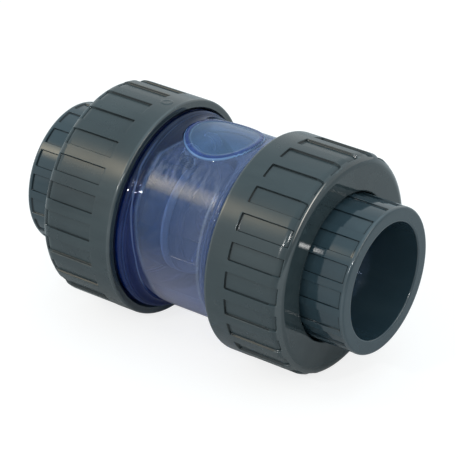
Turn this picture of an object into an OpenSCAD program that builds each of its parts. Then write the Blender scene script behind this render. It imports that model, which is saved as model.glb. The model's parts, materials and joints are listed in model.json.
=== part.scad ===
// Swing check valve: a clear body between two union nuts and two pipe sockets.
// Flow runs along X, inlet at -X and outlet at +X. Z is up and the front is at -Y.
// The origin is on the pipe axis, midway between the two socket mouths.

/* [Pipe sockets] */
// Inside radius of each pipe socket
socket_r = 25.1; // [25.05:0.05:25.3]
// Depth of each pipe socket
socket_depth = 31; // [29:0.5:32]
// Outside radius of each end connector
connector_r = 31.5; // [31:0.1:32]
// Distance from the centre to each socket mouth
mouth_x = 80.5; // [79.5:0.5:84]
// Number of shallow flutes round each end connector
flute_count = 18; // [12:1:20]
// Depth of the flutes
flute_depth = 0.7; // [0.4:0.1:1]

/* [Union nuts] */
// Outside radius of the union nuts
nut_r = 47.5; // [47:0.25:49]
// Distance from the centre to the nut's outer face
nut_face_x = 60.6; // [60:0.1:61.5]
// Distance from the centre to the nut's inner face
nut_back_x = 24.1; // [24:0.1:24.6]
// Radius of the rounded front edge of the nut
nut_round = 5; // [3:0.5:6]
// Number of grip panels round each nut
panel_count = 24; // [16:1:28]
// Width of a grip panel in degrees
panel_deg = 9; // [7:0.5:10]
// Depth of the grip panels
panel_depth = 0.9; // [0.5:0.1:1.2]
// Turn of the outlet nut about the pipe axis
nut_phase_outlet = 1.7; // [0:0.1:14.9]
// Turn of the inlet nut about the pipe axis
nut_phase_inlet = 3.6; // [0:0.1:14.9]

/* [Body] */
// Half the length of the clear body
body_half = 44; // [44:0.5:45]
// Outside radius of the barrel
barrel_r = 40.1; // [39.8:0.1:41]
// Height of the barrel's axis above the pipe axis
barrel_z = 1.56; // [1:0.02:1.6]
// Radius of the round pad on top of the barrel
pad_r = 16.6; // [12:0.2:17]
// Height of the pad above the barrel
pad_h = 1; // [0.6:0.1:1.4]

/* [Union thread] */
// Pitch of the union thread
thread_pitch = 6; // [6:0.1:6.2]
// Segments in one turn of the thread
thread_steps = 40; // [32:4:48]

/* [Flap] */
// Outside radius of the flap
flap_r = 24.5; // [23.8:0.1:24.6]
// Inside radius of the seat
seat_r = 22; // [20.5:0.25:22]
// Height of the hinge pin above the pipe axis
hinge_z = 30; // [29.8:0.1:30.2]
// Distance of the hinge pin along the pipe axis
hinge_x = -10.5; // [-10.8:0.1:-10.3]
// Radius of the hinge pin
pin_r = 2; // [1.6:0.1:2.1]

/* [Hidden] */
$fn = 128;

nut_color = [0.27, 0.31, 0.32];
connector_color = [0.26, 0.3, 0.31];
oring_color = [0.08, 0.08, 0.08];
fastener_color = [0.75, 0.76, 0.78];
bush_color = [0.93, 0.93, 0.92];
clip_color = [0.7, 0.71, 0.73];

// ---- Shared shapes ----

// points on an arc, as [radius, x]
function arc(centre_r, centre_x, r, start, end, steps) = [
    for (i = [0:steps])
        let (a = start + (end - start) * i / steps)
        [centre_r + r * cos(a), centre_x + r * sin(a)]];

// turns a [radius, x] outline about the pipe axis
module turned(outline) rotate([0, 90, 0]) rotate_extrude() polygon(outline);

// a round bar along the pipe axis
module bar_x(r, x0, x1) translate([x0, 0, 0]) rotate([0, 90, 0]) cylinder(r = r, h = x1 - x0);

// a hexagonal bar along the pipe axis
module hex_x(r, x0, x1)
    translate([x0, 0, 0]) rotate([0, 90, 0]) cylinder(r = r, h = x1 - x0, $fn = 6);

// a round bar along the hinge line
module bar_y(r, y0, y1)
    translate([hinge_x, y0, hinge_z]) rotate([-90, 0, 0]) cylinder(r = r, h = y1 - y0);

// a ring along the pipe axis
module ring_x(inner, outer, x0, x1) difference() {
    bar_x(outer, x0, x1);
    bar_x(inner, x0 - 1, x1 + 1);
}

// a ring on the hinge line, near to far from the middle; side is -1 front, 1 rear
module ring_y(side, inner, outer, near, far) {
    y0 = min(side * near, side * far);
    y1 = max(side * near, side * far);
    difference() {
        bar_y(outer, y0, y1);
        bar_y(inner, y0 - 1, y1 + 1);
    }
}

// an [x, z] outline made into a plate from y0 to y1
module plate(y0, y1) translate([0, y1, 0]) rotate([90, 0, 0]) linear_extrude(y1 - y0) children();

// cutters for equal shallow recesses, each width degrees wide, round a part of radius r
module recesses(count, width, phase, r, depth, x0, x1)
    for (k = [0:count - 1])
        translate([x0, 0, 0]) rotate([0, 90, 0]) rotate([0, 0, 180 + phase + k * 360 / count])
            rotate_extrude(angle = width)
                translate([r - depth, 0]) square([3, x1 - x0]);

module oring(r, x, cord_r)
    rotate([0, 90, 0]) translate([0, 0, x])
        rotate_extrude() translate([r, 0]) circle(r = cord_r, $fn = 48);

// a right-hand helical ridge about X, its middle running from x0 to x1;
// both ends fade into the wall, and a crest inside the root makes an internal thread
module ridge(root_r, crest_r, root_w, crest_w, x0, x1, phase = 0) {
    steps = floor((x1 - x0) / thread_pitch * thread_steps);
    fade_steps = 4;
    fade_min = 0.06;
    function rise(i) = min(1, min(i, steps - i) / fade_steps) * (1 - fade_min) + fade_min;
    // four corners at each step: root, crest, crest, root
    points = [
        for (i = [0:steps])
            let (
                a = phase + 360 * i / thread_steps,
                x = x0 + thread_pitch * i / thread_steps,
                top_r = root_r + (crest_r - root_r) * rise(i),
                top_w = root_w + (crest_w - root_w) * rise(i))
            each [
                [x - root_w / 2, -root_r * sin(a), root_r * cos(a)],
                [x - top_w / 2, -top_r * sin(a), top_r * cos(a)],
                [x + top_w / 2, -top_r * sin(a), top_r * cos(a)],
                [x + root_w / 2, -root_r * sin(a), root_r * cos(a)]]];
    sides = [
        for (i = [0:steps - 1], k = [0:3])
            let (a = 4 * i + k, b = 4 * i + (k + 1) % 4)
            each [[a, b, b + 4], [a, b + 4, a + 4]]];
    end = 4 * steps;
    faces = concat(sides, [[0, 3, 2], [0, 2, 1], [end, end + 1, end + 2], [end, end + 2, end + 3]]);
    internal = crest_r < root_r;
    polyhedron(points, internal ? [for (f = faces) [f[2], f[1], f[0]]] : faces, convexity = 10);
}

// ---- Body ----

thread_major = 43.2;     // crest of the body's thread
thread_minor = 41.3;     // root of the body's thread
thread_sink = 0.3;       // depth of a ridge's root inside its wall
body_thread_x0 = 27.4;
collar_x = 22.3;         // where the collar reaches full radius, less its chamfer
collar_x1 = 24.3;
fillet_x = 16.8;         // where the collar runs out into the barrel
end_r = 30;              // inside radius of the ends, before boring
pocket_r = 36;           // bore that takes the seat carrier
pocket_x = -19;          // bottom of that bore
chamber_r = 34.6;
chamber_z = 1.5;
outlet_r = 33;

face_cord_r = 1.2;
face_oring_x = body_half - 1.17;
face_oring_outlet_r = 37.1;
face_oring_inlet_r = 30.6;
face_groove_half = 1.7;  // half the radial width of the face grooves
face_groove_x = body_half - 2 * face_cord_r;

// collar, thread core and thread at the +X end of the body
module body_end() {
    turned(concat(
        [[end_r, fillet_x - 3], [barrel_r - 1.6, fillet_x - 3]],
        [for (i = [0:8])
            let (a = 90 * i / 8)
            [barrel_r - 0.2 + 1.9 * (1 - cos(a)), fillet_x + 3.2 * sin(a)]],
        [[thread_major - 1, fillet_x + 3.4], [thread_major - 0.45, fillet_x + 3.8],
         [thread_major - 0.45, fillet_x + 4.5], [thread_major - 0.8, fillet_x + 4.8],
         [thread_major - 0.1, collar_x], [thread_major, collar_x + 0.2],
         [thread_major, collar_x1 - 0.3], [thread_major - 0.3, collar_x1],
         [thread_minor, collar_x1], [thread_minor, body_half - 1],
         [thread_minor - 1, body_half], [end_r, body_half]]));
    ridge(thread_minor - thread_sink, thread_major, root_w = 3.62, crest_w = 2,
          x0 = body_thread_x0, x1 = body_half - 2);
}

module valve_body() color([0.45, 0.55, 0.85, 0.5]) difference() {
    union() {
        translate([0, 0, barrel_z]) bar_x(barrel_r, -fillet_x - 3.5, fillet_x + 3.5);
        body_end();
        rotate([0, 0, 180]) body_end();
        // pad on top
        intersection() {
            translate([0.5, 0, 0]) cylinder(r = pad_r, h = 60);
            translate([0, 0, barrel_z]) bar_x(barrel_r + pad_h, -20, 21);
        }
    }
    bar_x(pocket_r, -body_half - 1, pocket_x);
    translate([0, 0, chamber_z]) bar_x(chamber_r, pocket_x - 0.5, 30);
    bar_x(outlet_r, 29, body_half + 1);
    ring_x(face_oring_outlet_r - face_groove_half, face_oring_outlet_r + face_groove_half,
           face_groove_x, body_half + 1);
}

module face_oring_inlet() color(oring_color) oring(face_oring_inlet_r, -face_oring_x, face_cord_r);
module face_oring_outlet() color(oring_color) oring(face_oring_outlet_r, face_oring_x, face_cord_r);

// ---- End connectors ----

flange_r = 41;
flange_x0 = body_half + 0.05;
flange_x1 = 52.2;
throat_r = socket_r - 1.6;
flute_share = 0.675;     // part of each flute's pitch that is cut away

// end connector at the +X end; phase turns its flutes
module end_connector(phase) difference() {
    turned(concat(
        [[throat_r, flange_x0], [flange_r - 0.5, flange_x0], [flange_r, flange_x0 + 0.5],
         [flange_r, flange_x1 - 0.5], [flange_r - 0.5, flange_x1], [connector_r, flange_x1]],
        arc(connector_r - 1.2, mouth_x - 1.2, 1.2, 0, 90, 6),
        [[socket_r + 0.6, mouth_x], [socket_r, mouth_x - 0.6],
         [socket_r, mouth_x - socket_depth], [throat_r, mouth_x - socket_depth]]));
    recesses(flute_count, flute_share * 360 / flute_count, phase, connector_r, flute_depth,
             x0 = 56, x1 = mouth_x - 1.6);
}

module end_connector_outlet() color(connector_color) end_connector(phase = 13.5);
module end_connector_inlet()
    color(connector_color) rotate([0, 0, 180]) end_connector(phase = 19);

// ---- Union nuts ----

nut_bore = 43.7;         // root of the nut's thread
nut_crest = 41.7;        // crest of the nut's thread
nut_shoulder = flange_x1 + 0.1;
nut_hole = connector_r + 0.5;
nut_thread_x0 = 28.2;
// angle at which the nut's ridge lies halfway between the body's ridges
nut_thread_phase = 360 * (nut_thread_x0 - body_thread_x0) / thread_pitch + 180;

// union nut at the +X end; phase turns its grip panels
module union_nut(phase) {
    difference() {
        turned(concat(
            [[nut_bore + 0.6, nut_back_x], [nut_r - 0.5, nut_back_x]],
            arc(nut_r - 0.5, nut_back_x + 0.5, 0.5, -90, 0, 4),
            arc(nut_r - nut_round, nut_face_x - nut_round, nut_round, 0, 90, 10),
            [[nut_hole + 0.3, nut_face_x], [nut_hole, nut_face_x - 0.3], [nut_hole, nut_shoulder],
             [nut_bore, nut_shoulder], [nut_bore, nut_back_x + 0.6]]));
        recesses(panel_count, panel_deg, phase, nut_r, panel_depth, x0 = 34, x1 = nut_face_x - 3);
    }
    ridge(nut_bore + thread_sink, nut_crest, root_w = 4.09, crest_w = 2.39,
          x0 = nut_thread_x0, x1 = 45.5, phase = nut_thread_phase);
}

module union_nut_outlet() color(nut_color) union_nut(nut_phase_outlet);
// the half turn reverses the sense of rotation, so each panel starts from its other edge
module union_nut_inlet()
    color(nut_color) rotate([0, 0, 180]) union_nut(-nut_phase_inlet - panel_deg);

// ---- Seat carrier ----

carrier_r = 35.8;
carrier_groove_r = 33.4;
carrier_groove_x = -35;  // middle of the groove
carrier_groove_half = 1.6;
seat_x = -12.05;         // tip of the seat
lug_y0 = 5.2;
lug_y1 = 9;
lug_top = hinge_z + 4.1;
bush_r = 3;

// [radius, x]
carrier_outline = [
    [seat_r + 1.5, -body_half], [carrier_r, -body_half],
    [carrier_r, carrier_groove_x - carrier_groove_half],
    [carrier_groove_r, carrier_groove_x - carrier_groove_half],
    [carrier_groove_r, carrier_groove_x + carrier_groove_half],
    [carrier_r, carrier_groove_x + carrier_groove_half],
    [carrier_r, -19.2], [31, -19.2], [31, -39], [25.2, -39], [25, -13.2], [24.6, -12.5],
    [23.9, seat_x], [22.9, seat_x], [seat_r, -12.8], [seat_r, -30], [seat_r + 1.5, -30.3]];

// [x, z]
lug_outline = [
    [-32.6, 21], [-13.4, 21], [-13.4, 25.4], [hinge_x - 1, hinge_z - 4.08],
    [hinge_x + 0.9, lug_top], [-32.6, lug_top]];

// insert that holds the seat and the hinge lugs
module seat_carrier() color([0.55, 0.62, 0.85, 0.5]) difference() {
    union() {
        turned(carrier_outline);
        for (y0 = [-lug_y1, lug_y0]) intersection() {
            plate(y0, y0 + lug_y1 - lug_y0) union() {
                translate([hinge_x, hinge_z]) circle(r = 4.2);
                polygon(lug_outline);
            }
            bar_x(35, -40, 0);
        }
    }
    ring_x(face_oring_inlet_r - face_groove_half, face_oring_inlet_r + face_groove_half,
           -body_half - 1, -face_groove_x);
    bar_x(seat_r, -31, -10);
    bar_y(bush_r + 0.02, -20, 20);
}

module carrier_oring() color(oring_color) oring(r = 34.7, x = carrier_groove_x, cord_r = 1.27);

// ---- Flap ----

seal_x0 = -12;
seal_x1 = -9.5;
disc_x1 = -6;
rib_x0 = disc_x1 - 0.5;  // raised features start inside the disc
hub_x1 = -3;
arm_half = 4.3;
post_z = 10;
stem_r = 1.35;           // stem of the stop bumper
retainer_x0 = -14.5;
washer_x0 = -15.3;
screw_r = 2.5;
screw_hole_r = 2.6;

// [x, z]
arm_outline = [
    [-9, 6], [-9, 25.2], [hinge_x - 2, hinge_z - 2.2], [hinge_x + 2, hinge_z + 3.2],
    [-3.6, 26], [-3.2, 20], [-4.4, 6]];

// flap with its arm, hub, ribs and stop post
module flap_disc() color([0.6, 0.66, 0.88, 0.5]) difference() {
    union() {
        turned([[0, seal_x1], [flap_r - 0.3, seal_x1], [flap_r, seal_x1 + 0.3],
                [flap_r, disc_x1 - 0.6], [flap_r - 0.6, disc_x1], [0, disc_x1]]);
        ring_x(20.5, 22.3, rib_x0, disc_x1 + 1);
        bar_x(8, rib_x0, hub_x1);
        for (a = [45, 135]) rotate([a, 0, 0]) translate([rib_x0, -21, -1]) cube([2.6, 42, 2]);
        plate(-arm_half, arm_half) union() {
            translate([hinge_x, hinge_z]) circle(r = 4);
            polygon(arm_outline);
        }
        translate([0, 0, post_z]) bar_x(3, rib_x0, 0);
    }
    bar_x(screw_hole_r, -20, 10);
    bar_y(pin_r + 0.02, -10, 10);
    translate([0, 0, post_z]) bar_x(stem_r + 0.05, -3.5, 1);
}

module flap_seal() color([0.85, 0.88, 0.9])
    turned([[8, seal_x0], [flap_r + 0.2, seal_x0], [flap_r + 0.4, seal_x0 + 0.3],
            [flap_r + 0.4, seal_x1 - 0.3], [flap_r + 0.2, seal_x1], [8, seal_x1]]);

module seal_retainer() color([0.6, 0.66, 0.88, 0.6]) difference() {
    union() {
        turned([[0, retainer_x0], [18.9, retainer_x0], [19.5, retainer_x0 + 0.6],
                [19.5, seal_x0], [0, seal_x0]]);
        bar_x(7.9, -13, seal_x1);
    }
    bar_x(screw_hole_r, -20, 0);
}

module retainer_washer() color(fastener_color) ring_x(screw_hole_r, 5.5, washer_x0, retainer_x0);

module retainer_screw() color(fastener_color) difference() {
    turned([[0, -17.9], [3.4, -17.9], [4.3, -17.4], [4.6, -16.7], [4.6, washer_x0],
            [screw_r, washer_x0], [screw_r, 1.6], [screw_r - 0.4, 2], [0, 2]]);
    hex_x(1.75, -18.5, -16.4);
}

module retainer_nut() color(fastener_color) difference() {
    hex_x(4.62, hub_x1, 1);
    bar_x(screw_r + 0.02, -4, 2);
}

// domed bumper on the stop post
module stop_bumper() color([0.85, 0.87, 0.88]) translate([0, 0, post_z]) union() {
    bar_x(stem_r, -3.3, 0.5);
    turned(concat([[0, 0.02], [3.4, 0.02], [3.4, 0.46]], arc(0, 0.46, 3.4, 0, 90, 10)));
}

// ---- Hinge ----

clip_y = 10.05;          // middle of each clip and its groove
clip_half = 0.3;
clip_groove_half = 0.35;
collar_r = 3.9;          // outside radius of the bush flanges and spacers

module hinge_pin() color([0.78, 0.79, 0.8]) difference() {
    union() {
        bar_y(pin_r, -11.5, 11.5);
        bar_y(pin_r - 0.3, -12, 12);
    }
    for (side = [-1, 1])
        ring_y(side, pin_r - 0.4, pin_r + 1, clip_y - clip_groove_half, clip_y + clip_groove_half);
}

// flanged bush in one lug
module bush(side) union() {
    ring_y(side, pin_r + 0.05, bush_r, lug_y0, lug_y1 + 0.1);
    ring_y(side, pin_r + 0.05, collar_r, lug_y1 + 0.02, lug_y1 + 0.6);
}
module hinge_bush_front() color(bush_color) bush(-1);
module hinge_bush_rear() color(bush_color) bush(1);

// ring with a slot at the top
module clip(side) difference() {
    ring_y(side, pin_r - 0.35, pin_r + 1.5, clip_y - clip_half, clip_y + clip_half);
    translate([hinge_x - 1.3, side * clip_y - 1, hinge_z]) cube([2.6, 2, 6]);
}
module pin_clip_front() color(clip_color) clip(-1);
module pin_clip_rear() color(clip_color) clip(1);

// rings between the arm and the lugs
module hinge_spacers() color(bush_color)
    for (side = [-1, 1]) ring_y(side, pin_r + 0.02, collar_r, arm_half + 0.05, lug_y0 - 0.05);

valve_body();
union_nut_inlet();
union_nut_outlet();
end_connector_inlet();
end_connector_outlet();
face_oring_inlet();
face_oring_outlet();
seat_carrier();
carrier_oring();
flap_disc();
flap_seal();
seal_retainer();
retainer_screw();
retainer_washer();
retainer_nut();
hinge_pin();
hinge_bush_front();
hinge_bush_rear();
pin_clip_front();
pin_clip_rear();
hinge_spacers();
stop_bumper();
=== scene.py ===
"""Clear check valve with dark grey union nuts and end connectors.

The pipe axis lies along X: inlet at -X, outlet at +X, round pad on top of the body at +Z.
Outlines are in millimetres as (radius, x) about that axis, scaled to metres by MM. Angles round
the axis are in degrees from +Z towards -Y. Inlet parts are outlet parts turned about Z.
"""
import json
import math
import bpy
import bmesh
import numpy as np
from mathutils import Vector, Matrix


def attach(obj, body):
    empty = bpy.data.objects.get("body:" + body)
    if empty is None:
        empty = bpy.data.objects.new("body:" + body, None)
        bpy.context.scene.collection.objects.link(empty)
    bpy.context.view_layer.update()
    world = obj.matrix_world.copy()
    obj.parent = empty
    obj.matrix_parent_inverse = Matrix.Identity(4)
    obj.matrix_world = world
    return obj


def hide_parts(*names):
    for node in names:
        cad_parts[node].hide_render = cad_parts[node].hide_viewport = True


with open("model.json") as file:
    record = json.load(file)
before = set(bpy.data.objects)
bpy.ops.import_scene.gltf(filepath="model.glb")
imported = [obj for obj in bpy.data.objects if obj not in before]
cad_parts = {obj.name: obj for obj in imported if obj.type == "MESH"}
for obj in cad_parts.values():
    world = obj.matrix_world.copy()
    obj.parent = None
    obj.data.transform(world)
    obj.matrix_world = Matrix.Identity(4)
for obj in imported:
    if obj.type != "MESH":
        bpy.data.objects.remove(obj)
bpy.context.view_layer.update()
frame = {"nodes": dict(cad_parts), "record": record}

# ---------------------------------------------------------------- driving sizes, mm
MM = 0.001
NUT_RADIUS = 47.5
NUT_FRONT = 60.6            # outer face of the nut, away from the body
NUT_BACK = 24.1
NUT_ROUND = 5.0             # rounding of the nut's outer front edge
NUT_PANEL_DEPTH = 1.0
END_RADIUS = 31.5
END_MOUTH = 80.5            # x of the connector's open face
END_BORE = 25.1
END_PANEL_DEPTH = 0.7
PAD_X = 0.5                 # centre of the body's round pad
THREAD_PITCH = 6.0
THREAD_STEPS = 120          # per turn
THREAD_ROUNDING = 0.25      # at the crest corners
BODY_THREAD_START = 27.4
NUT_THREAD_START = 28.2
# half a turn on from the body's thread, so the ridges interleave
NUT_THREAD_PHASE = 360 * (NUT_THREAD_START - BODY_THREAD_START) / THREAD_PITCH + 180


# ---------------------------------------------------------------- small helpers
def srgb(*values):
    """Linear RGBA from sRGB 0-255."""
    shares = [value / 255.0 for value in values]
    linear = [s / 12.92 if s <= 0.04045 else ((s + 0.055) / 1.055) ** 2.4 for s in shares]
    return tuple(linear) + (1.0,)


def scaled(colour, factor):
    return tuple(min(1, channel * factor) for channel in colour[:3]) + (1,)


def mm(*values):
    return tuple(value * MM for value in values)


def smooth(t):
    t = np.clip(t, 0.0, 1.0)
    return t * t * (3 - 2 * t)


def blend(start, end, share):
    return start * (1 - share) + end * share


def shade(mesh, sharp_deg):
    """Smooth shading with sharp edges above the given angle."""
    mesh.polygons.foreach_set("use_smooth", [True] * len(mesh.polygons))
    mesh.set_sharp_from_angle(angle=math.radians(sharp_deg))
    mesh.update()


def add_object(name, points, faces, sharp_deg):
    mesh = bpy.data.meshes.new(name)
    mesh.from_pydata([tuple(point) for point in points * MM], [], faces)
    mesh.validate()
    shade(mesh, sharp_deg)
    ob = bpy.data.objects.new(name, mesh)
    bpy.context.scene.collection.objects.link(ob)
    return ob


def placed(points, flip):
    """Turn the points half a turn about Z for the inlet side."""
    return points * np.array([-1, -1, 1]) if flip else points


def ring_grid(radius, x, angles, flip=False):
    """Closed loft through radius[row, column] and x[row, column], one column per angle."""
    rows, columns = radius.shape
    turn = np.radians(angles)[None, :]
    points = np.stack([x, -radius * np.sin(turn), radius * np.cos(turn)], -1)
    row = np.arange(rows)[:, None]
    column = np.arange(columns)[None, :]
    next_row = (row + 1) % rows
    next_column = (column + 1) % columns
    corners = [row * columns + column, row * columns + next_column,
               next_row * columns + next_column, next_row * columns + column]
    faces = np.stack(corners, -1).reshape(-1, 4)
    return placed(points.reshape(-1, 3), flip), faces.tolist()


def arc(centre_r, centre_x, radius, start, end, steps):
    """Outline points on an arc, from start to end in degrees."""
    turns = [math.radians(start + (end - start) * i / steps) for i in range(steps + 1)]
    return [(centre_r + radius * math.cos(t), centre_x + radius * math.sin(t)) for t in turns]


def line(radius, stations):
    return [(radius, x) for x in stations]


def helix(root, crest, root_width, crest_width, start, end, phase, flip):
    """Closed right-hand thread ridge from the root radius to the crest, tapering at both ends."""
    count = int(round((end - start) / THREAD_PITCH * THREAD_STEPS))
    fade = THREAD_STEPS / 10.0
    height = abs(crest - root)
    # share of the height, trim of the half width as a share of the rounding
    flank = [(0.0, 0), (1 - THREAD_ROUNDING / height, 0),
             (1 - 0.3 * THREAD_ROUNDING / height, 0.12), (1.0, 0.8)]
    section = [(share, -1, trim) for share, trim in flank]
    section += [(share, 1, trim) for share, trim in reversed(flank)]
    points = []
    for i in range(count + 1):
        full = smooth(min(i, count - i) / fade) * 0.93 + 0.07
        turn = math.radians(phase + 360.0 * i / THREAD_STEPS)
        x = start + THREAD_PITCH * i / THREAD_STEPS
        for share, side, trim in section:
            radius = root + (crest - root) * share * full
            width = root_width + (crest_width - root_width) * share * full
            half = max(width / 2 - trim * THREAD_ROUNDING, 0.05)
            points.append((x + side * half, -radius * math.sin(turn), radius * math.cos(turn)))
    size = len(section)
    faces = []
    for i in range(count):
        for k in range(size):
            a, b = size * i + k, size * i + (k + 1) % size
            faces.append([a, b, b + size, a + size])
    faces.append(list(range(size))[::-1])
    faces.append([size * count + k for k in range(size)])
    if crest < root:
        faces = [face[::-1] for face in faces]
    return placed(np.array(points), flip), faces


def fix_normals(ob):
    bm = bmesh.new()
    bm.from_mesh(ob.data)
    bmesh.ops.recalc_face_normals(bm, faces=bm.faces)
    bm.to_mesh(ob.data)
    bm.free()


def unite(ob, tool, sharp_deg):
    """Join the tool to the object and remove the tool."""
    fix_normals(ob)
    fix_normals(tool)
    before = len(ob.data.vertices)
    for solver in ("MANIFOLD", "EXACT"):
        # guards against the first solver failing or leaving the mesh as it was
        try:
            modifier = ob.modifiers.new("b", "BOOLEAN")
            modifier.operation = "UNION"
            modifier.solver = solver
            modifier.object = tool
            bpy.context.view_layer.update()
            depsgraph = bpy.context.evaluated_depsgraph_get()
            mesh = bpy.data.meshes.new_from_object(ob.evaluated_get(depsgraph))
            ob.modifiers.remove(modifier)
            if len(mesh.vertices) > 8 and len(mesh.vertices) != before:
                old = ob.data
                ob.data = mesh
                bpy.data.meshes.remove(old)
                break
        except Exception:
            ob.modifiers.clear()
    bpy.data.objects.remove(tool)
    shade(ob.data, sharp_deg)


def hand_over(ob, material, node, body):
    """Give the object its material and put it in place of the CAD piece."""
    ob.data.materials.clear()
    ob.data.materials.append(material)
    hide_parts(node)
    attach(ob, body)


# ---------------------------------------------------------------- shader graphs
class Graph:
    """Short calls for building the node tree of a material, world or light."""

    def __init__(self, owner, output):
        owner.use_nodes = True
        self.owner = owner
        self.tree = owner.node_tree
        self.tree.nodes.clear()
        self.output = self.node(output)

    def node(self, kind, **props):
        node = self.tree.nodes.new("ShaderNode" + kind)
        for name, value in props.items():
            setattr(node, name, value)
        return node

    def put(self, socket, value):
        """Link a socket, or set a plain value."""
        if isinstance(value, bpy.types.NodeSocket):
            self.tree.links.new(value, socket)
        else:
            socket.default_value = value

    def fill(self, node, values, indices):
        for index, value in zip(indices, values):
            self.put(node.inputs[index], value)

    def math(self, operation, a, b=0.0, clamp=False):
        node = self.node("Math", operation=operation, use_clamp=clamp)
        self.fill(node, (a, b), (0, 1))
        return node.outputs[0]

    def add(self, a, b):
        return self.math("ADD", a, b)

    def subtract(self, a, b):
        return self.math("SUBTRACT", a, b)

    def multiply(self, a, b):
        return self.math("MULTIPLY", a, b)

    def length(self, a, b):
        return self.math("SQRT", self.add(self.multiply(a, a), self.multiply(b, b)))

    def remap(self, value, span, to=(0, 1)):
        """Carry the span onto the range `to`, clamped."""
        node = self.node("MapRange")
        self.fill(node, (value, *span, *to), range(5))
        return node.outputs[0]

    def invert(self, value):
        return self.remap(value, (0, 1), to=(1, 0))

    def band(self, value, rise, fall):
        """0 to 1 over the rise, 1 to 0 over the fall."""
        return self.multiply(self.remap(value, rise), self.remap(value, fall, to=(1, 0)))

    def strongest(self, masks):
        result = masks[0]
        for mask in masks[1:]:
            result = self.math("MAXIMUM", result, mask)
        return result

    def mix(self, share, a, b):
        node = self.node("Mix", data_type="RGBA", blend_type="MIX")
        self.fill(node, (share, a, b), (0, 6, 7))
        return node.outputs[2]

    def mix_value(self, share, a, b):
        node = self.node("Mix", data_type="FLOAT")
        self.fill(node, (share, a, b), (0, 2, 3))
        return node.outputs[0]

    def mix_shader(self, share, a, b):
        node = self.node("MixShader")
        self.fill(node, (share, a, b), range(3))
        return node.outputs[0]

    def separate(self, vector):
        node = self.node("SeparateXYZ")
        self.put(node.inputs[0], vector)
        return node.outputs

    def shader(self, kind, **inputs):
        node = self.node(kind)
        for name, value in inputs.items():
            self.put(node.inputs[name.replace("_", " ")], value)
        return node.outputs[0]

    def surface(self, shader):
        self.put(self.output.inputs["Surface"], shader)
        return self.owner


class Material(Graph):
    def __init__(self, name):
        super().__init__(bpy.data.materials.new(name), "OutputMaterial")
        self.place = self.node("TexCoord").outputs["Object"]

    def noise(self, scale, detail=4, rough=0.5, stretch=None, seed=0.0):
        place = self.place
        if stretch:
            mapping = self.node("Mapping")
            mapping.inputs["Scale"].default_value = stretch
            self.put(mapping.inputs["Vector"], place)
            place = mapping.outputs[0]
        node = self.node("TexNoise", noise_dimensions="4D")
        values = dict(Vector=place, Scale=scale, Detail=detail, Roughness=rough, W=seed)
        for name, value in values.items():
            self.put(node.inputs[name], value)
        return node.outputs["Fac"]

    def bump(self, height, strength, distance, under=None):
        inputs = dict(Height=height, Strength=strength, Distance=distance)
        if under is not None:
            inputs["Normal"] = under
        return self.shader("Bump", **inputs)

    def principled(self, **inputs):
        return self.surface(self.shader("BsdfPrincipled", **inputs))


# ---------------------------------------------------------------- dark grey PVC
def dark_pvc(name, shades, rough, seed, gloss, burnished, recess):
    """Moulded PVC with flow variation, orange peel, rubbed edges and smudges.

    gloss: (from, to, roughness) of polished stretches of |x|, mm
    burnished: (from, to) of stretches of |x| with stronger reflection, mm
    recess: (panel radius, outer radius, from |x|, to |x|) of the recess walls that get painted
    shade, mm
    """
    mat = Material(name)
    base, dark, light = shades
    streak = mat.noise(scale=28, detail=5, rough=0.55, stretch=(1.0, 0.35, 0.35), seed=seed)
    cloud = mat.noise(scale=9, detail=3, seed=seed + 3)
    drag = mat.noise(scale=70, rough=0.6, stretch=(0.25, 1.0, 1.0), seed=seed + 21)
    peel = mat.noise(scale=700, detail=2, seed=seed + 5)
    colour = mat.mix(mat.remap(streak, (0.3, 0.7)), dark, base)
    colour = mat.mix(mat.remap(cloud, (0.45, 0.75), to=(0, 0.55)), colour, light)
    colour = mat.mix(mat.remap(drag, (0.48, 0.68), to=(0, 0.5)), colour, light)

    # paler ridges, broken up by specks, and painted shade in the hollows
    pointiness = mat.node("NewGeometry").outputs["Pointiness"]
    wear = mat.remap(pointiness, (0.52, 0.57), to=(0, 0.45))
    hollow_shade = mat.remap(pointiness, (0.45, 0.492), to=(0.85, 0.0))
    speck = mat.noise(scale=160, rough=0.6, seed=seed + 9)
    speck = mat.remap(speck, (0.4, 0.6), to=(0.3, 1.0))
    colour = mat.mix(mat.multiply(wear, speck), colour, scaled(light, 1.9))
    colour = mat.mix(hollow_shade, colour, scaled(dark, 0.35))

    smudge = mat.noise(scale=22, detail=6, rough=0.65, seed=seed + 11)
    roughness = mat.remap(smudge, (0.3, 0.7), to=rough)
    x, y, z = mat.separate(mat.place)
    along = mat.math("ABSOLUTE", x)

    # painted shade on the short walls round the recessed panels, on the straight part only
    low, high, start, end = recess
    radius = mat.length(y, z)
    painted_wall_shade = mat.multiply(
        mat.band(radius, rise=mm(low + 0.02, low + 0.12), fall=mm(high - 0.2, high - 0.06)),
        mat.band(along, rise=mm(start, start + 0.1), fall=mm(end - 0.1, end)))
    painted_wall_shade_strength = 0.72
    colour = mat.mix(mat.multiply(painted_wall_shade, painted_wall_shade_strength), colour, scaled(dark, 0.22))

    for start, end, polish in gloss:
        mask = mat.band(along, rise=mm(start - 0.7, start + 0.7), fall=mm(end - 0.4, end + 0.4))
        polished = mat.remap(smudge, (0.3, 0.7), to=(polish * 0.7, polish * 1.4))
        roughness = mat.mix_value(mask, roughness, polished)

    waves = mat.noise(scale=90, detail=2, stretch=(1, 0.6, 0.6), seed=seed + 14)
    normal = mat.bump(peel, strength=0.05, distance=0.00006)
    normal = mat.bump(waves, strength=0.08, distance=0.00025, under=normal)
    specular = burnish = 0.5
    for start, end in burnished:
        mask = mat.band(along, rise=mm(start - 0.2, start + 0.2), fall=mm(end - 0.2, end + 0.2))
        specular = mat.add(specular, mat.multiply(mask, burnish))
    return mat.principled(Base_Color=colour, Roughness=roughness, Normal=normal, IOR=1.54,
                          Specular_IOR_Level=specular)


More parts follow.
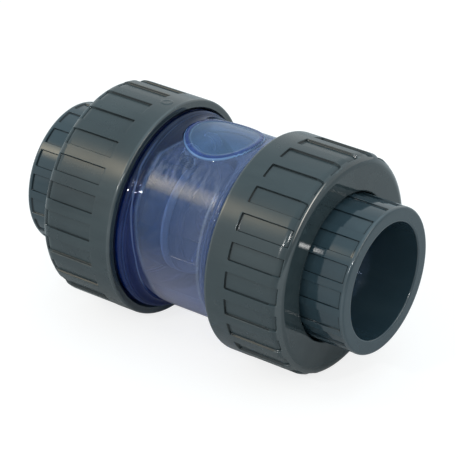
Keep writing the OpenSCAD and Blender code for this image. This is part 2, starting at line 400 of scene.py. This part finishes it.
NUT_FINISH = dict(
    shades=(srgb(49, 61, 65), srgb(39, 50, 54), srgb(60, 71, 74)),
    rough=(0.20, 0.32),
    gloss=[(57.6, 62.0, 0.06), (20.0, 25.2, 0.10)],
    burnished=[(24.0, 25.4), (58.5, 60.2)],
    recess=(NUT_RADIUS - NUT_PANEL_DEPTH, NUT_RADIUS, 33.4, 55.5))
END_FINISH = dict(
    shades=(srgb(46, 63, 71), srgb(39, 56, 64), srgb(53, 69, 76)),
    rough=(0.12, 0.22),
    burnished=[(79.3, 80.3)],
    recess=(END_RADIUS - END_PANEL_DEPTH, END_RADIUS, 55.4, 78.9))
INLET_END_GLOSS = [(52.0, 82.0, 0.15)]
OUTLET_END_GLOSS = [(52.0, 79.0, 0.06), (79.0, 82.0, 0.12)]


# ---------------------------------------------------------------- clear PVC
def clear_pvc(name, tint, haze, haze_amount, density, absorb, seed, rough=0.02, paint=None):
    """Refracting blue-tinted PVC with a milky haze and a volume tint in the thick parts.

    paint(mat, haze, tint, haze_amount, seed) returns a varied haze, tint and amount.
    """
    mat = Material(name)
    waves = mat.noise(scale=26, detail=1, stretch=(0.6, 1, 1), seed=seed)
    normal = mat.bump(waves, strength=0.10, distance=0.0005)
    smear = mat.noise(scale=30, rough=0.6, seed=seed + 4)
    roughness = mat.remap(smear, (0.35, 0.7), to=(rough * 0.7, rough * 1.6))
    cloud = mat.noise(scale=18, rough=0.6, seed=seed + 7)
    cloud = mat.remap(cloud, (0.3, 0.7), to=(0.85, 1.15))
    colour, glass_tint, amount = haze, tint, haze_amount
    if paint:
        colour, glass_tint, amount = paint(mat, haze, tint, haze_amount, seed)
    glass = mat.shader("BsdfGlass", Color=glass_tint, Roughness=roughness, IOR=1.45,
                       Normal=normal)
    milky = mat.shader("BsdfPrincipled", Base_Color=colour, Roughness=mat.add(roughness, 0.03),
                       Normal=normal, IOR=1.5)
    hazed = mat.mix_shader(mat.math("MULTIPLY", cloud, amount, clamp=True), glass, milky)
    # light passes through for shadows, pale with the tint
    is_shadow = mat.node("LightPath").outputs["Is Shadow Ray"]
    pale_tint = tuple(0.55 + 0.45 * channel for channel in tint[:3]) + (1,)
    passing = mat.shader("BsdfTransparent", Color=pale_tint)
    volume = mat.shader("VolumeAbsorption", Color=absorb, Density=density)
    mat.put(mat.output.inputs["Volume"], volume)
    return mat.surface(mat.mix_shader(is_shadow, hazed, passing))


BARREL_TOP, BARREL_BOTTOM = srgb(36, 66, 104), srgb(206, 198, 222)
BARREL_CLOUD, BARREL_DRAG_AND_REFLECTION = srgb(84, 92, 124), srgb(144, 152, 174)
BARREL_REFLECTION, BARREL_PALE = srgb(92, 90, 74), srgb(146, 158, 196)
PAD_DARK, PAD_LIGHT, PAD_LINE = srgb(54, 88, 128), srgb(74, 108, 142), srgb(110, 140, 175)
PAD_RING, PAD_RIM_HIGHLIGHT = srgb(22, 62, 134), srgb(128, 166, 214)
COLLAR_SHADE_TOP, COLLAR_SHADE_SIDE = srgb(2, 20, 52), srgb(0, 30, 94)
COLLAR_LINE, COLLAR_STREAK = srgb(110, 142, 194), srgb(116, 142, 192)
COLLAR_MILK, COLLAR_FILLET_HIGHLIGHT = srgb(78, 94, 128), srgb(172, 184, 206)
COLLAR_HAZE_AMOUNT, COLLAR_TINT = 0.60, (0.02, 0.12, 0.46, 1)
SEAT_HIGHLIGHT = srgb(244, 247, 255)


def paint_body(mat, haze, tint, haze_amount, seed):
    """Colour zones of the body; lengths in metres, turns in radians either side of the top."""
    remap, band, multiply, mix = mat.remap, mat.band, mat.multiply, mat.mix
    x, y, z = mat.separate(mat.place)
    along = mat.math("ABSOLUTE", x)

    def side_turn():
        return mat.math("ABSOLUTE", mat.math("ARCTAN2", y, z))

    # barrel: dark above, pale below, with clouds and drag marks round it
    drag = mat.noise(scale=720, detail=2, rough=0.6, stretch=(1.0, 0.24, 0.24), seed=seed + 31)
    cloud = mat.noise(scale=24, rough=0.55, seed=seed + 33)
    colour = mix(remap(z, (-0.038, 0.008), to=(1.0, 0.0)), BARREL_TOP, BARREL_BOTTOM)
    colour = mix(remap(cloud, (0.35, 0.7), to=(0, 0.4)), colour, BARREL_CLOUD)
    # drag marks all round, much stronger in a band either side of the top, where they paint a
    # mottled reflection
    mottled_reflection_band = band(side_turn(), rise=(0.40, 0.62), fall=(0.80, 0.95))
    marks = multiply(remap(drag, (0.47, 0.56)), remap(mottled_reflection_band, (0, 1), to=(0.08, 0.60)))
    colour = mix(marks, colour, BARREL_DRAG_AND_REFLECTION)
    # paler towards the outlet end
    colour = mix(remap(x, (-0.002, 0.012), to=(0, 0.24)), colour, BARREL_PALE)
    # painted warm-grey reflection band on the -Y side, colour only
    matt = multiply(band(side_turn(), rise=(0.72, 0.78), fall=(0.855, 0.885)),
                    band(x, rise=(-0.0180, -0.0160), fall=(0.0080, 0.0150)))
    matt = multiply(matt, remap(y, (0.0, -0.002)))
    reflection_band_strength = 0.45
    colour = mix(multiply(matt, reflection_band_strength), colour, BARREL_REFLECTION)

    # round pad on top: painted highlight line round the rim, deep ring inside it, paler face with
    # a fine line
    from_pad = mat.length(mat.subtract(x, PAD_X * MM), y)
    outside = remap(mat.length(y, z), (0.0366, 0.0376))
    top = multiply(remap(z, (0.020, 0.024)), outside)
    face = multiply(remap(from_pad, (0.0150, 0.0143)), top)
    ring = multiply(band(from_pad, rise=(0.0143, 0.0150), fall=(0.0161, 0.0164)), top)
    rim_highlight = multiply(band(from_pad, rise=(0.0162, 0.0165), fall=(0.01665, 0.0169)), top)
    face_line = multiply(band(from_pad, rise=(0.0136, 0.0139), fall=(0.0142, 0.0145)), top)
    face_line_strength = 0.45
    mottle = mat.noise(scale=60, rough=0.6, stretch=(1, 1, 1), seed=seed + 41)
    colour = mix(face, colour, mix(remap(mottle, (0.35, 0.7)), PAD_DARK, PAD_LIGHT))
    colour = mix(multiply(face_line, face_line_strength), colour, PAD_LINE)
    colour = mix(ring, colour, PAD_RING)
    colour = mix(rim_highlight, colour, PAD_RIM_HIGHLIGHT)

    # painted dark navy shade at the inlet end, where the dark nut and sleeve show through; its
    # edge shifts to +X at the top and the sides
    turn = side_turn()
    shift = mat.strongest([remap(turn, (1.10, 1.90)), remap(turn, (0.50, 0.20))])
    edge_x, edge_shift = -0.0181, 0.0068
    edge = mat.add(multiply(shift, edge_shift), edge_x)
    see_through_shade = multiply(remap(mat.subtract(x, edge), (0.0006, -0.0012)), mat.invert(ring))
    see_through_shade = multiply(see_through_shade, mat.invert(mat.add(face, rim_highlight)))
    colour = mix(see_through_shade, colour, mix(remap(turn, (0.8, 1.4)), COLLAR_SHADE_TOP, COLLAR_SHADE_SIDE))
    # pale line along that edge, kept off the pad
    seam = band(mat.subtract(x, edge), rise=(-0.0004, 0.0002), fall=(0.0006, 0.0014))
    off_pad = mat.invert(mat.add(face, mat.add(ring, rim_highlight)))
    edge_line_strength = 0.30
    colour = mix(multiply(multiply(seam, off_pad), edge_line_strength), colour, COLLAR_LINE)
    # painted highlight lines on the ridges round both collars: centre, half width, strength
    ridge_highlights = [multiply(band(along, rise=(centre - 2 * half, centre - half),
                           fall=(centre + half, centre + 2 * half)), strength)
             for centre, half, strength in ((0.0207, 0.0003, 0.12), (0.0219, 0.0002, 0.08))]
    colour = mix(mat.strongest(ridge_highlights), colour, COLLAR_LINE)
    # pale curved line across the inlet collar, from the top down towards the barrel
    bow = mat.subtract(x, remap(turn, (0.70, 1.66), to=(-0.0218, -0.0160)))
    streak = multiply(band(bow, rise=(-0.00045, -0.00015), fall=(0.00015, 0.0005)),
                    remap(turn, (0.35, 0.60), to=(0, 0.55)))
    colour = mix(multiply(streak, remap(cloud, (0.3, 0.6), to=(0.55, 1))), colour, COLLAR_STREAK)
    # the outlet collar is milky, with a painted highlight line on the fillet where the barrel
    # runs out
    milk_strength = 0.6
    colour = mix(multiply(remap(x, (0.0150, 0.0172)), milk_strength), colour, COLLAR_MILK)
    fillet_highlight = band(x, rise=(0.0148, 0.0152), fall=(0.0158, 0.0166))
    broken = multiply(remap(turn, (0.5, 0.8), to=(0, 0.6)),
                      remap(cloud, (0.3, 0.6), to=(0.4, 1)))
    colour = mix(multiply(fillet_highlight, broken), colour, COLLAR_FILLET_HIGHLIGHT)
    # plain haze past the collars, towards both ends
    colour = mix(remap(along, (0.0243, 0.0247)), colour, haze)

    # haze amount: changed in the deep zone, more on the pad, little on the inner walls
    pad_extra = 0.16
    amount = mat.add(multiply(see_through_shade, COLLAR_HAZE_AMOUNT - haze_amount), haze_amount)
    amount = mat.add(amount, multiply(mat.add(ring, mat.add(rim_highlight, face)), pad_extra))
    amount = multiply(amount, remap(outside, (0, 1), to=(0.12, 1)))
    return colour, mix(see_through_shade, tint, COLLAR_TINT), amount


def paint_seat_highlights(mat, haze, tint, haze_amount, seed):
    """Two narrow painted highlight bands round the seat; lengths in metres."""
    x = mat.separate(mat.place)[0]
    soft = 0.00015
    seat_highlight = mat.strongest([mat.band(x, rise=(start - soft, start), fall=(end, end + soft))
                         for start, end in ((-0.0129, -0.0120), (-0.0304, -0.0297))])
    colour = mat.mix(seat_highlight, haze, SEAT_HIGHLIGHT)
    seat_highlight_amount = 1.1
    amount = mat.add(mat.multiply(seat_highlight, seat_highlight_amount - haze_amount), haze_amount)
    return colour, tint, amount


# ---------------------------------------------------------------- small-part materials
def rubber(name, dark, light, rough, seed, translucent=0.0):
    mat = Material(name)
    mottle = mat.noise(scale=60, rough=0.6, seed=seed)
    colour = mat.mix(mat.remap(mottle, (0.3, 0.7)), dark, light)
    smear = mat.noise(scale=90, rough=0.6, seed=seed + 2)
    roughness = mat.remap(smear, (0.3, 0.7), to=(rough - 0.08, rough + 0.08))
    grain = mat.noise(scale=1400, detail=2, seed=seed + 5)
    inputs = dict(Base_Color=colour, Roughness=roughness,
                  Normal=mat.bump(grain, strength=0.15, distance=0.00008))
    if translucent:
        inputs.update(Subsurface_Weight=translucent, Subsurface_Radius=(0.003, 0.003, 0.003),
                      Transmission_Weight=0.35)
    return mat.principled(**inputs)


def steel(name, seed):
    """Steel with fine grain lines along X."""
    mat = Material(name)
    grain = mat.noise(scale=900, detail=3, stretch=(0.05, 1, 1), seed=seed)
    mottle = mat.remap(mat.noise(scale=80, rough=0.6, seed=seed + 2), (0.3, 0.7))
    return mat.principled(
        Base_Color=mat.mix(mottle, srgb(176, 178, 182), srgb(205, 206, 208)), Metallic=1.0,
        Roughness=mat.remap(grain, (0.3, 0.7), to=(0.18, 0.36)),
        Normal=mat.bump(grain, strength=0.12, distance=0.00005))


def ptfe(name, seed):
    mat = Material(name)
    mottle = mat.remap(mat.noise(scale=120, detail=3, seed=seed), (0.3, 0.7))
    smear = mat.noise(scale=200, detail=3, seed=seed + 1)
    grain = mat.noise(scale=1500, detail=2)
    return mat.principled(
        Base_Color=mat.mix(mottle, srgb(226, 226, 222), srgb(240, 240, 238)),
        Roughness=mat.remap(smear, (0.3, 0.7), to=(0.4, 0.55)),
        Normal=mat.bump(grain, strength=0.1, distance=0.00005))


NUT_INLET = dark_pvc("dark_grey_pvc_inlet_nut", seed=1.0, **NUT_FINISH)
NUT_OUTLET = dark_pvc("dark_grey_pvc_outlet_nut", seed=17.0, **NUT_FINISH)
END_INLET = dark_pvc("dark_grey_pvc_inlet_end", seed=31.0, gloss=INLET_END_GLOSS, **END_FINISH)
END_OUTLET = dark_pvc("dark_grey_pvc_outlet_end", seed=47.0, gloss=OUTLET_END_GLOSS,
                      **END_FINISH)
BODY = clear_pvc("clear_blue_pvc", tint=(0.80, 0.84, 0.95, 1), haze=srgb(60, 70, 104),
                 haze_amount=0.45, rough=0.018, density=84.0, absorb=(0.18, 0.43, 0.73, 1),
                 seed=3.0, paint=paint_body)
INNER = clear_pvc("clear_blue_pvc_inner", tint=(0.90, 0.92, 0.97, 1), haze=srgb(150, 162, 196),
                  haze_amount=0.22, density=40.0, absorb=(0.2, 0.45, 0.75, 1), seed=23.0)
SEAT = clear_pvc("clear_blue_pvc_seat", tint=(0.88, 0.90, 0.96, 1), haze=srgb(120, 134, 176),
                 haze_amount=0.28, density=40.0, absorb=(0.2, 0.45, 0.75, 1), seed=29.0,
                 paint=paint_seat_highlights)
SLOTS = {
    "dark_grey_pvc": NUT_INLET,
    "dark_grey_pvc_ends": END_INLET,
    "clear_body": BODY,
    "clear_internal": INNER,
    "black_epdm": rubber("black_epdm", dark=srgb(26, 26, 27), light=srgb(38, 38, 39),
                         rough=0.5, seed=5.0),
    "pale_silicone": rubber("pale_silicone", dark=srgb(196, 204, 216),
                            light=srgb(214, 220, 228), rough=0.4, seed=6.0, translucent=0.3),
    "stainless": steel("stainless_steel", seed=2.0),
    "white_ptfe": ptfe("white_ptfe", seed=4.0),
}
for part in frame["record"]["subparts"]:
    materials = frame["nodes"][part["node"]].data.materials
    materials.clear()
    materials.append(SEAT if part["node"] == "seat_carrier" else SLOTS[part["material_slot"]])


# ---------------------------------------------------------------- recessed panels
def panel_angles(count, start, width, edge, inner, outer):
    """Columns round a part: close at both edges of each panel, `inner` and `outer` between."""
    period = 360 / count
    close = [edge * share for share in (-1.6, -1, -0.5, 0, 0.5, 1, 1.6)]
    reach = edge * 1.6
    end = start + width
    one = [start + offset for offset in close]
    one += list(np.linspace(start + reach, end - reach, inner + 2)[1:-1])
    one += [end + offset for offset in close]
    one += list(np.linspace(end + reach, start + period - reach, outer + 2)[1:-1])
    return np.array([angle + period * k for k in range(count) for angle in one])


def panel_share(angles, count, start, width, edge):
    """1 inside the panels, 0 on the ribs between them."""
    lead = 3.0
    across = np.mod(angles - start + lead, 360 / count) - lead
    return (smooth((across + edge) / (2 * edge))
            * (1 - smooth((across - width + edge) / (2 * edge))))


def spread(outline, angles):
    """Radius and x grids with the same outline at every angle."""
    return (np.repeat(outline[:, :1], len(angles), 1),
            np.repeat(outline[:, 1:], len(angles), 1))


# ---------------------------------------------------------------- union nuts
def nut_outline():
    """Outline points, and how many of them lie on the outer skin."""
    outline = [(44.35, NUT_BACK), (45.2, NUT_BACK), (46.0, NUT_BACK)]
    outline += arc(NUT_RADIUS - 1.1, NUT_BACK + 1.1, 1.1, -90, 0, 9)
    outline += line(NUT_RADIUS, np.arange(25.6, 33.2, 0.3))
    outline += line(NUT_RADIUS, (33.4, 33.7, 33.9, 34.1, 34.3, 34.5, 34.7, 34.9, 35.1, 35.4, 35.8,
                                 36.5, 38, 41, 44, 47, 50, 52.5, 54.5, 55.2))
    outline += arc(NUT_RADIUS - NUT_ROUND, NUT_FRONT - NUT_ROUND, NUT_ROUND, 0, 90, 40)
    skin = len(outline)
    # front face and mouth
    outline += [(radius, NUT_FRONT) for radius in (41.5, 39.5, 37.5, 35, 33.4)]
    outline += arc(32.8, NUT_FRONT - 0.8, 0.8, 90, 180, 8)
    outline += line(32.0, (59.2, 58, 56, 54, 52.6))
    # inner shoulder and the wall the thread stands on
    outline += [(32.2, 52.35), (32.8, 52.3), (38, 52.3), (43.2, 52.3), (43.7, 51.8)]
    outline += line(43.7, (48, 44, 40, 36, 32, 28, 25.2)) + [(43.8, 24.8)]
    return np.array(outline), skin


def union_nut(name, node, body, panel_start, flip, material, mark):
    """Ribbed nut; mark is the gate mark's (x, angle, radius, height)."""
    mark_x, mark_angle, mark_radius, mark_height = mark
    count, width, edge = 24, 9.0, 0.24
    start = -panel_start - width if flip else panel_start
    if flip:
        mark_angle = -mark_angle
    angles = panel_angles(count, start, width, edge, inner=7, outer=4)
    # finer columns where the gate mark sits
    near = np.arange(-5.0, 5.01, 0.25) + mark_angle
    first = angles[0]
    angles = np.mod(angles - first, 360.0) + first
    near = np.mod(near - first, 360.0) + first
    near = np.array([angle for angle in near if np.abs(angles - angle).min() > 0.06])
    angles = np.sort(np.concatenate([angles, near]))

    outline, skin = nut_outline()
    r, x = outline.T
    # slope round the front edge, and the distance run along the skin
    slope = np.arctan2(np.clip(x - (NUT_FRONT - NUT_ROUND), 0, None),
                       np.clip(r - (NUT_RADIUS - NUT_ROUND), 1e-6, None))
    run = np.minimum(x, NUT_FRONT - NUT_ROUND) + NUT_ROUND * slope
    outer = (r > 42.6) & (x > 25.4) & (np.arange(len(outline)) < skin)
    radius, station = spread(outline, angles)
    # the panels follow the rounded front edge and stop at a small lip
    along = smooth((run - 34.0) / 0.6) * (1 - smooth((run - 58.9) / 0.45))
    across = panel_share(angles, count, start, width, edge)
    depth = NUT_PANEL_DEPTH * np.outer(along * outer, across)
    radius = radius - depth * np.cos(slope)[:, None]
    station = station - depth * np.sin(slope)[:, None]
    # gate mark: a low disc with a dished middle
    around = (np.mod(angles - mark_angle + 180, 360) - 180) * np.pi / 180 * NUT_RADIUS
    distance = np.sqrt((station - mark_x) ** 2 + around[None, :] ** 2)
    disc = smooth((mark_radius + 0.35 - distance) / 0.7)
    dish = smooth((mark_radius * 0.55 + 0.2 - distance) / 0.4)
    radius = radius + outer[:, None] * mark_height * (disc - 0.6 * dish)

    ob = add_object(name, *ring_grid(radius, station, angles, flip), 32)
    ridge = helix(root=44.0, crest=41.7, root_width=4.09, crest_width=2.39,
                  start=NUT_THREAD_START, end=45.5, phase=NUT_THREAD_PHASE, flip=flip)
    unite(ob, add_object(name + "_thread", *ridge, 32), 32)
    hand_over(ob, material, node, body)


union_nut("nut_outlet", "union_nut_outlet", "outlet_nut", panel_start=1.7, flip=False,
          material=NUT_OUTLET, mark=(31.0, 95.0, 1.3, 0.18))
union_nut("nut_inlet", "union_nut_inlet", "inlet_nut", panel_start=3.6, flip=True,
          material=NUT_INLET, mark=(30.5, -2.4, 2.5, 0.22))


# ---------------------------------------------------------------- end connectors
def end_outline():
    # flange inside the nut
    outline = [(r, 44.05) for r in (23.6, 24.6, 30, 36, 40.3)]
    outline += arc(40.4, 44.65, 0.6, -90, 0, 4) + line(41, (47, 50, 51.5))
    outline += arc(40.4, 51.6, 0.6, 0, 90, 4)
    outline += [(38, 52.2), (34, 52.2), (32.4, 52.2), (31.8, 52.35), (31.5, 52.8)]
    # outside of the socket
    outline += line(END_RADIUS, (54, 55.6, 55.9, 56.2, 56.5, 56.8, 57.4, 59, 62, 65, 68, 71, 74,
                                 76.5, 77.6, 77.9, 78.1, 78.3, 78.5, 78.7, 78.9, 79.2))
    outline += arc(END_RADIUS - 1.1, END_MOUTH - 1.1, 1.1, 0, 90, 8)
    # mouth, socket bore and the step to the narrower bore
    outline += [(r, END_MOUTH) for r in (29.4, 28, 26.6, 25.95)]
    outline += arc(END_BORE + 0.7, END_MOUTH - 0.7, 0.7, 90, 180, 5)
    outline += line(END_BORE, (79, 76, 72, 68, 64, 60, 56, 52, 50.2))
    outline += [(24.95, 49.65), (24.5, 49.5), (24.0, 49.5), (23.6, 49.4)]
    return np.array(outline + line(23.5, (49.0, 47, 44.6)))


def end_connector(name, node, body, panel_start, flip, material):
    count, width, edge = 18, 13.5, 0.3
    start = -panel_start - width if flip else panel_start
    angles = panel_angles(count, start, width, edge, inner=8, outer=4)
    outline = end_outline()
    r, x = outline.T
    radius, station = spread(outline, angles)
    outer = (r > 30.2) & (x > 53)
    along = smooth((x - 55.6) / 0.9) * (1 - smooth((x - 78.0) / 0.8))
    across = panel_share(angles, count, start, width, edge)
    radius = radius - END_PANEL_DEPTH * np.outer(along * outer, across)
    ob = add_object(name, *ring_grid(radius, station, angles, flip), 32)
    fix_normals(ob)
    hand_over(ob, material, node, body)


end_connector("end_outlet", "end_connector_outlet", "outlet_end", panel_start=13.5, flip=False,
              material=END_OUTLET)
end_connector("end_inlet", "end_connector_inlet", "inlet_end", panel_start=7.5, flip=True,
              material=END_INLET)


# ---------------------------------------------------------------- clear body
# short parting lines on the -Y side: angle, from x, to x
PARTING_LINES = ((84.0, 1.75, 15.5), (70.0, 8.6, 16.5))
# barrel end, collar and threaded neck on one side: x, share of collar, collar radius
BARREL_END = [(14.0, 0, 42), (15.4, 0, 42), (16.2, 0, 42)]
COLLAR = [
    (19.15, 0.86, 42.1), (19.35, 0.93, 42.15), (19.6, 0.96, 42.15), (19.85, 0.93, 42.15),
    (20.05, 0.93, 42.2), (20.2, 1, 42.3), (20.4, 1, 42.5), (20.7, 1, 42.58), (21.0, 1, 42.5),
    (21.2, 1, 42.28), (21.4, 1, 42.34), (21.6, 1, 42.54), (21.85, 1, 42.75), (22.1, 1, 42.91),
    (22.4, 1, 43.04), (22.7, 1, 43.13), (23.0, 1, 43.18), (23.35, 1, 43.2), (23.7, 1, 43.2),
    (23.95, 1, 43.1), (24.1, 1, 42.9), (24.3, 1, 42.0), (24.35, 1, 41.5), (24.5, 1, 41.3),
    (26, 1, 41.3), (30, 1, 41.3), (34, 1, 41.3), (38, 1, 41.3), (42, 1, 41.3), (42.9, 1, 41.3),
    (43.4, 1, 40.9), (43.85, 1, 40.45), (44, 1, 40.2)]
# +X end face with its ring groove, then the round bore: radius, x
OUTLET_FACE = [
    (39.0, 44), (38.85, 43.8), (38.8, 43.4), (38.8, 41.7), (38.6, 41.6), (35.6, 41.6),
    (35.4, 41.7), (35.4, 43.7), (35.2, 44), (33.6, 44), (33.2, 43.85), (33.0, 43.4),
    (33.0, 40), (33.0, 36), (33.0, 32), (33.0, 30.3)]
# off-centre chamber: x, share from the round bore
CHAMBER = [(30.1, 0.15), (30.0, 0.5), (29.6, 1.0), (28, 1.0), (24, 1), (18, 1), (12, 1), (6, 1),
           (0, 1), (-6, 1), (-12, 1), (-17, 1), (-18.6, 1)]
# step out to the wider bore: x, share of that bore
CHAMBER_STEP = [(-18.95, 0.05), (-19.0, 0.3), (-19.0, 0.9)]
# wider bore out to the -X end face: radius, x
INLET_BORE = [(36, -19.1), (36, -22), (36, -28), (36, -34), (36, -40), (36, -43.2),
              (36.2, -43.8), (36.6, -44), (38.4, -44)]


def raised_circle(radius, centre_z, turn):
    """Distance from the axis to a circle whose centre is raised along Z."""
    cos, sin = np.cos(turn), np.sin(turn)
    return centre_z * cos + np.sqrt(radius * radius - (centre_z * sin) ** 2)


def body_angles():
    """Fine over the pad and at the parting lines, coarse elsewhere."""
    seams = [seam for seam, _, _ in PARTING_LINES]
    fine = [seam + q for seam in seams for q in (-0.6, -0.36, -0.18, 0, 0.18, 0.36, 0.6)]
    coarse = [q for q in np.arange(40, 320, 1.0) if min(abs(q - seam) for seam in seams) > 0.8]
    return np.concatenate([np.arange(-40, 40, 0.4), np.array(sorted(coarse + fine))])


def body_skin_row(row, x, angles, turn):
    """Add the pad and the parting lines to one row of the outer skin."""
    y = -row * np.sin(turn)
    z = row * np.cos(turn)
    distance = np.sqrt((x - PAD_X) ** 2 + y ** 2)
    # raised disc with a rounded edge and a soft crease inside it
    pad = smooth((17.0 - distance) / 0.9) * 1.0 - 0.35 * smooth((14.9 - distance) / 1.3)
    row = row + np.where((z > 0) & (abs(x) < 17.6), pad, 0.0)
    height, half_width, fade = 0.22, 0.34, 0.3
    for seam, start, end in PARTING_LINES:
        if start - fade < x < end + fade:
            ridge = height * np.clip(1 - abs(angles - seam) / half_width, 0, 1)
            row = row + ridge * min(1, (x - start + fade) / 0.5, (end + fade - x) / 0.5)
    return row


def clear_body():
    angles = body_angles()
    turn = np.radians(angles)
    barrel = raised_circle(40.1, 1.56, turn)
    chamber = raised_circle(34.6, 1.5, turn)
    half = list(BARREL_END)
    for sweep in np.radians(np.linspace(8, 76, 9)):
        half.append((16.4 + 2.7 * math.sin(sweep), 1 - math.cos(sweep), 42.1))
    half += COLLAR
    skin = [(-x, share, collar) for x, share, collar in reversed(half)]
    skin += [(x, 0, 42) for x in np.arange(-13.0, 13.01, 0.5)] + half

    rows = [(body_skin_row(blend(barrel, collar, share), x, angles, turn), x)
            for x, share, collar in skin]
    rows += [(np.full_like(turn, radius), x) for radius, x in OUTLET_FACE]
    rows += [(blend(33.0, chamber, share), x) for x, share in CHAMBER]
    rows += [(blend(chamber, 36.0, share), x) for x, share in CHAMBER_STEP]
    rows += [(np.full_like(turn, radius), x) for radius, x in INLET_BORE]
    radius = np.array([row for row, _ in rows])
    station = np.repeat(np.array([x for _, x in rows], float)[:, None], len(angles), 1)

    ob = add_object("body_clear", *ring_grid(radius, station, angles), 50)
    for flip in (False, True):
        ridge = helix(root=41.0, crest=43.2, root_width=3.62, crest_width=2.0,
                      start=BODY_THREAD_START, end=42.0, phase=0, flip=flip)
        unite(ob, add_object("thread_ridge", *ridge, 32), 50)
    hand_over(ob, BODY, "valve_body", "valve")


clear_body()

# ---------------------------------------------------------------- render settings
scene = bpy.context.scene
scene.view_settings.view_transform = "Standard"
scene.view_settings.look = "None"
scene.view_settings.exposure = 0.0
scene.cycles.max_bounces = 16
scene.cycles.transmission_bounces = 14
scene.cycles.transparent_max_bounces = 16
scene.cycles.sample_clamp_indirect = 6.0


# ---------------------------------------------------------------- floor, world, lights, camera
def add_floor(half=6, height=-0.0476):
    """Pale floor just under the nuts, partly glowing to the camera and greyer to other rays."""
    mat = Material("studio_floor")
    mottle = mat.remap(mat.noise(scale=3, detail=3), (0.3, 0.7))
    colour = mat.mix(mottle, (0.90, 0.90, 0.90, 1), (0.93, 0.93, 0.93, 1))
    is_camera = mat.node("LightPath").outputs["Is Camera Ray"]
    colour = mat.mix(is_camera, (0.60, 0.61, 0.62, 1), colour)
    matt = mat.shader("BsdfPrincipled", Base_Color=colour, Roughness=0.9)
    glow = mat.shader("Emission", Color=(1.0, 1.0, 1.0, 1), Strength=1.15)
    glow_share = 0.68
    mat.surface(mat.mix_shader(mat.multiply(is_camera, glow_share), matt, glow))
    mesh = bpy.data.meshes.new("floor")
    corners = ((-half, -half), (half, -half), (half, half), (-half, half))
    mesh.from_pydata([(x, y, height) for x, y in corners], [], [(0, 1, 2, 3)])
    floor = bpy.data.objects.new("floor", mesh)
    scene.collection.objects.link(floor)
    mesh.materials.append(mat.owner)


def add_world():
    """Soft room: bright overhead, dimmer low on the camera's side and towards +X."""
    world = bpy.data.worlds.new("studio")
    scene.world = world
    sky = Graph(world, "OutputWorld")
    x, y, z = sky.separate(sky.node("TexCoord").outputs["Generated"])
    camera_x, camera_y = 0.58, -0.81      # level direction towards the camera
    overall, camera_dim, outlet_dim = 0.90, 0.28, 0.40
    front = sky.add(sky.multiply(x, camera_x), sky.multiply(y, camera_y))
    dim = sky.multiply(sky.remap(front, (0.15, 0.85)), sky.remap(z, (0.85, 0.25)))
    strength = sky.subtract(overall, sky.multiply(dim, camera_dim))
    strength = sky.subtract(strength, sky.multiply(sky.remap(x, (0.3, 1.0)), outlet_dim))
    colour = sky.mix(sky.remap(z, (0.25, 0.95)), (0.94, 1.0, 1.01, 1), (0.76, 0.95, 1.04, 1))
    sky.surface(sky.shader("Background", Color=colour, Strength=strength))


def area(name, direction, distance, size, power, colour, soft=0.0, axis=(1, 0, 0)):
    """Area light aimed at the origin; `soft` is the share of each side that fades out."""
    light = bpy.data.lights.new(name, "AREA")
    light.energy = power
    light.color = colour
    light.shape = "RECTANGLE"
    light.size, light.size_y = size
    if soft:
        graph = Graph(light, "OutputLight")
        u, v, _ = graph.separate(graph.node("NewGeometry").outputs["Parametric"])
        sides = dict(rise=(0, soft), fall=(1 - soft, 1))
        fade = graph.multiply(graph.band(u, **sides), graph.band(v, **sides))
        graph.surface(graph.shader("Emission", Strength=fade))
    ob = bpy.data.objects.new(name, light)
    back = Vector(direction).normalized()
    ob.location = back * distance
    ob.rotation_mode = "QUATERNION"
    axis = Vector(axis)
    across = (axis - back * back.dot(axis)).normalized()
    turn = Matrix((across, back.cross(across), back)).transposed()
    ob.rotation_quaternion = turn.to_quaternion()
    scene.collection.objects.link(ob)


def add_camera():
    camera = bpy.data.cameras.new("camera")
    camera.sensor_width = 36
    camera.lens = 194.15
    camera.clip_start = 0.05
    camera.clip_end = 20
    ob = bpy.data.objects.new("camera", camera)
    ob.matrix_world = Matrix((
        (0.81179, -0.28935, 0.50721, 0.52799),
        (0.58394, 0.40225, -0.70512, -0.73011),
        (0.0, 0.86859, 0.49551, 0.51160),
        (0, 0, 0, 1)))
    scene.collection.objects.link(ob)
    scene.camera = ob


add_floor()
add_world()
area("key_soft", direction=(-0.58, -0.51, 0.66), distance=1.2, size=(0.50, 0.44), power=3.7,
     colour=(1.0, 0.84, 0.58), soft=0.42)
area("key_glint", direction=(-0.13, -0.81, 0.565), distance=1.3, size=(0.045, 0.045), power=2.6,
     colour=(1.0, 0.99, 0.97))
area("corner", direction=(0.507, -0.616, 0.602), distance=1.6, size=(0.07, 0.20), power=4.2,
     colour=(1.0, 0.99, 0.97), soft=0.3)
area("side_strip", direction=(0.87, 0.08, 0.46), distance=1.3, size=(1.15, 0.26), power=6.4,
     colour=(1.0, 0.94, 0.85), soft=0.35, axis=(0.156, -0.805, -0.57))
area("top", direction=(0.05, 0.25, 1.0), distance=1.5, size=(1.6, 1.6), power=1.8,
     colour=(0.74, 0.96, 1.06))
add_camera()
